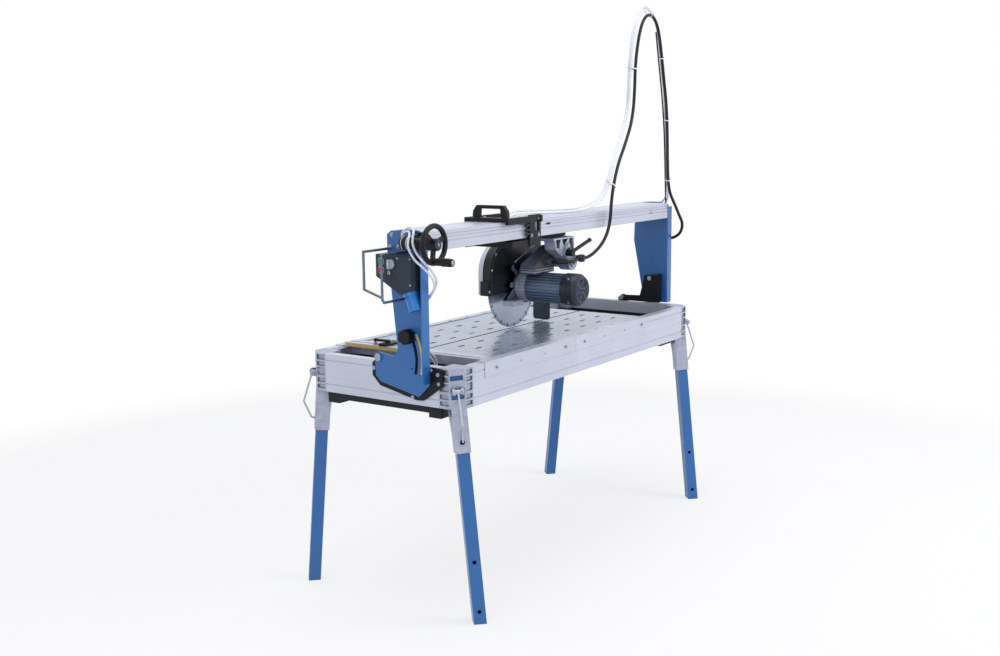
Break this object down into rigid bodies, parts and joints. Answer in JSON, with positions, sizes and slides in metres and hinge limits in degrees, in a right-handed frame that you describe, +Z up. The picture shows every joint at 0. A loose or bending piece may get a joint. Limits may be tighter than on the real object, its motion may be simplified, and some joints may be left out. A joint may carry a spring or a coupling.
{
  "type": "bridge tile cutter",
  "caption": "Rail-guided wet tile saw: aluminium frame with water tray and slotted table on removable legs, and a tilting bridge that carries the saw head on a hand-cranked carriage.",
  "frame": {"origin": "on the floor, midway along and across the machine", "axes": "+X along the cut, away from the handwheel; +Y across the machine, away from the operator; +Z up"},
  "size_m": [1.7933, 0.7452, 1.9705],
  "materials": {
    "blue_paint": "satin powder coat",
    "alloy": "satin anodised",
    "cast_alloy": "matt cast",
    "galvanised": "galvanised sheet",
    "black_steel": "satin black",
    "black_plastic": "matt",
    "tray_plastic": "matt",
    "steel": "machined",
    "zinc_wire": "zinc plated",
    "motor_paint": "painted ribbed casting",
    "box_cover": "matt",
    "guard_grey": "satin",
    "guard_black": "satin",
    "flap_rubber": "matt",
    "belt_rubber": "matt",
    "inlet_blue": "gloss",
    "green_cap": "gloss",
    "red_cap": "gloss",
    "pale_cap": "gloss",
    "cable_black": "matt",
    "clear_hose": "clear",
    "glide": "smooth"
  },
  "bodies": {
    "frame": {"frame_beams": "alloy", "corner_castings": "cast_alloy", "water_tray": "tray_plastic", "tray_rails": "tray_plastic", "drain_plug": "black_plastic", "water_pump": "black_plastic", "table_plates": "galvanised", "table_bars": "alloy", "side_angles": "alloy", "frame_bolts": "steel", "pivot_supports": "black_steel", "fence_bar": "alloy"},
    "stop": {"fence_stop": "black_plastic"},
    "stop_lever": {"fence_lever": "black_plastic"},
    "leg_near_left": {"leg_near_left": "blue_paint"},
    "bail_near_left": {"bail_near_left": "steel"},
    "leg_far_left": {"leg_far_left": "blue_paint"},
    "bail_far_left": {"bail_far_left": "steel"},
    "leg_near_right": {"leg_near_right": "blue_paint"},
    "bail_near_right": {"bail_near_right": "steel"},
    "leg_far_right": {"leg_far_right": "blue_paint"},
    "bail_far_right": {"bail_far_right": "steel"},
    "bridge": {"column_left": "blue_paint", "column_right": "blue_paint", "bracket_right": "black_steel", "rail": "alloy", "tilt_pins": "steel", "switch_box": "black_plastic", "power_inlet": "inlet_blue", "switch_guard": "zinc_wire", "cable_mast": "black_steel", "drive_housing": "black_steel", "drive_belt": "belt_rubber", "motor_cable": "cable_black", "arch_hoses": "clear_hose", "feed_hoses": "clear_hose"},
    "knob": {"tilt_knob": "black_plastic"},
    "start": {"start_button": "green_cap"},
    "stop_switch": {"stop_button": "red_cap"},
    "selector": {"selector_knob": "pale_cap"},
    "wheel": {"handwheel": "black_plastic", "drive_pulley": "steel"},
    "crank": {"crank_grip": "black_plastic"},
    "idler": {"idler_pulley": "steel"},
    "carriage": {"carriage_frame": "black_steel", "glide_pads": "glide", "carriage_handle": "black_plastic", "pivot_hanger": "cast_alloy", "hose_tail": "clear_hose", "cable_tail": "cable_black"},
    "lock": {"lock_lever": "black_plastic"},
    "head": {"head_plate": "cast_alloy", "guard_near": "guard_black", "guard_far": "guard_grey", "splash_flap": "flap_rubber", "motor_housing": "motor_paint", "fan_cover": "black_plastic", "terminal_box": "box_cover"},
    "saw": {"blade": "steel", "motor_shaft": "steel"}
  },
  "joints": [
    {"name": "leg_pull_near_left", "type": "slide", "parent": "frame", "child": "leg_near_left", "axis": [0, -0.1045, -0.9945], "range_m": [0, 0.12]},
    {"name": "bail_swing_near_left", "type": "hinge", "parent": "frame", "child": "bail_near_left", "pos_m": [-0.74221, -0.29331, 0.72766], "axis": [-0.7071, 0.7032, -0.0739], "range_deg": [0, 70]},
    {"name": "leg_pull_far_left", "type": "slide", "parent": "frame", "child": "leg_far_left", "axis": [0, 0.1045, -0.9945], "range_m": [0, 0.12]},
    {"name": "bail_swing_far_left", "type": "hinge", "parent": "frame", "child": "bail_far_left", "pos_m": [-0.74221, 0.29331, 0.72766], "axis": [0.7071, 0.7032, 0.0739], "range_deg": [0, 70]},
    {"name": "leg_pull_near_right", "type": "slide", "parent": "frame", "child": "leg_near_right", "axis": [0, -0.1045, -0.9945], "range_m": [0, 0.12]},
    {"name": "bail_swing_near_right", "type": "hinge", "parent": "frame", "child": "bail_near_right", "pos_m": [0.83671, -0.29331, 0.72766], "axis": [-0.7071, -0.7032, 0.0739], "range_deg": [0, 70]},
    {"name": "leg_pull_far_right", "type": "slide", "parent": "frame", "child": "leg_far_right", "axis": [0, 0.1045, -0.9945], "range_m": [0, 0.12]},
    {"name": "bail_swing_far_right", "type": "hinge", "parent": "frame", "child": "bail_far_right", "pos_m": [0.83671, 0.29331, 0.72766], "axis": [0.7071, -0.7032, -0.0739], "range_deg": [0, 70]},
    {"name": "bridge_tilt", "type": "hinge", "parent": "frame", "child": "bridge", "pos_m": [0.04725, -0.006, 0.811], "axis": [-1, 0, 0], "range_deg": [0, 45], "deforming": ["feed_hoses", "splash_flap"]},
    {"name": "knob_turn", "type": "hinge", "parent": "frame", "child": "knob", "pos_m": [-0.78275, -0.13304, 0.88885], "axis": [-1, 0, 0], "range_deg": [0, 180]},
    {"name": "stop_slide", "type": "slide", "parent": "frame", "child": "stop", "axis": [0, 1, 0], "range_m": [-0.06, 0.14]},
    {"name": "stop_lever_turn", "type": "hinge", "parent": "stop", "child": "stop_lever", "pos_m": [-0.58475, 0.105, 0.815], "axis": [0, 0, 1], "range_deg": [-60, 60]},
    {"name": "start_press", "type": "slide", "parent": "bridge", "child": "start", "axis": [1, 0, 0], "range_m": [0, 0.003], "stiffness_N_per_m": 600, "springref_m": -0.001},
    {"name": "stop_press", "type": "slide", "parent": "bridge", "child": "stop_switch", "axis": [1, 0, 0], "range_m": [0, 0.003], "stiffness_N_per_m": 600, "springref_m": -0.001},
    {"name": "selector_turn", "type": "hinge", "parent": "bridge", "child": "selector", "pos_m": [-0.81425, -0.104, 1.112], "axis": [-1, 0, 0], "range_deg": [-45, 45]},
    {"name": "carriage_slide", "type": "slide", "parent": "bridge", "child": "carriage", "axis": [1, 0, 0], "range_m": [-0.38, 0.59], "deforming": ["motor_cable", "arch_hoses"]},
    {"name": "wheel_spin", "type": "hinge", "parent": "bridge", "child": "wheel", "pos_m": [-0.81775, -0.27, 1.178], "axis": [0, 1, 0], "continuous": true},
    {"name": "idler_spin", "type": "hinge", "parent": "bridge", "child": "idler", "pos_m": [0.80225, -0.172, 1.178], "axis": [0, 1, 0], "continuous": true},
    {"name": "crank_spin", "type": "hinge", "parent": "wheel", "child": "crank", "pos_m": [-0.82471, -0.32, 1.12849], "axis": [0, 1, 0], "continuous": true},
    {"name": "head_plunge", "type": "hinge", "parent": "carriage", "child": "head", "pos_m": [0.10125, -0.172, 1.038], "axis": [0, -1, 0], "range_deg": [0, 12], "deforming": ["cable_tail", "hose_tail"]},
    {"name": "lock_turn", "type": "hinge", "parent": "carriage", "child": "lock", "pos_m": [0.05225, -0.215, 1.076], "axis": [0, -1, 0], "range_deg": [0, 60]},
    {"name": "blade_spin", "type": "hinge", "parent": "head", "child": "saw", "pos_m": [-0.00275, 0, 0.953], "axis": [0, 1, 0], "continuous": true}
  ],
  "couplings": [
    {"joint": "wheel_spin", "follows": "carriage_slide", "rad_per_m": -49.261},
    {"joint": "idler_spin", "follows": "carriage_slide", "rad_per_m": -49.261}
  ]
}
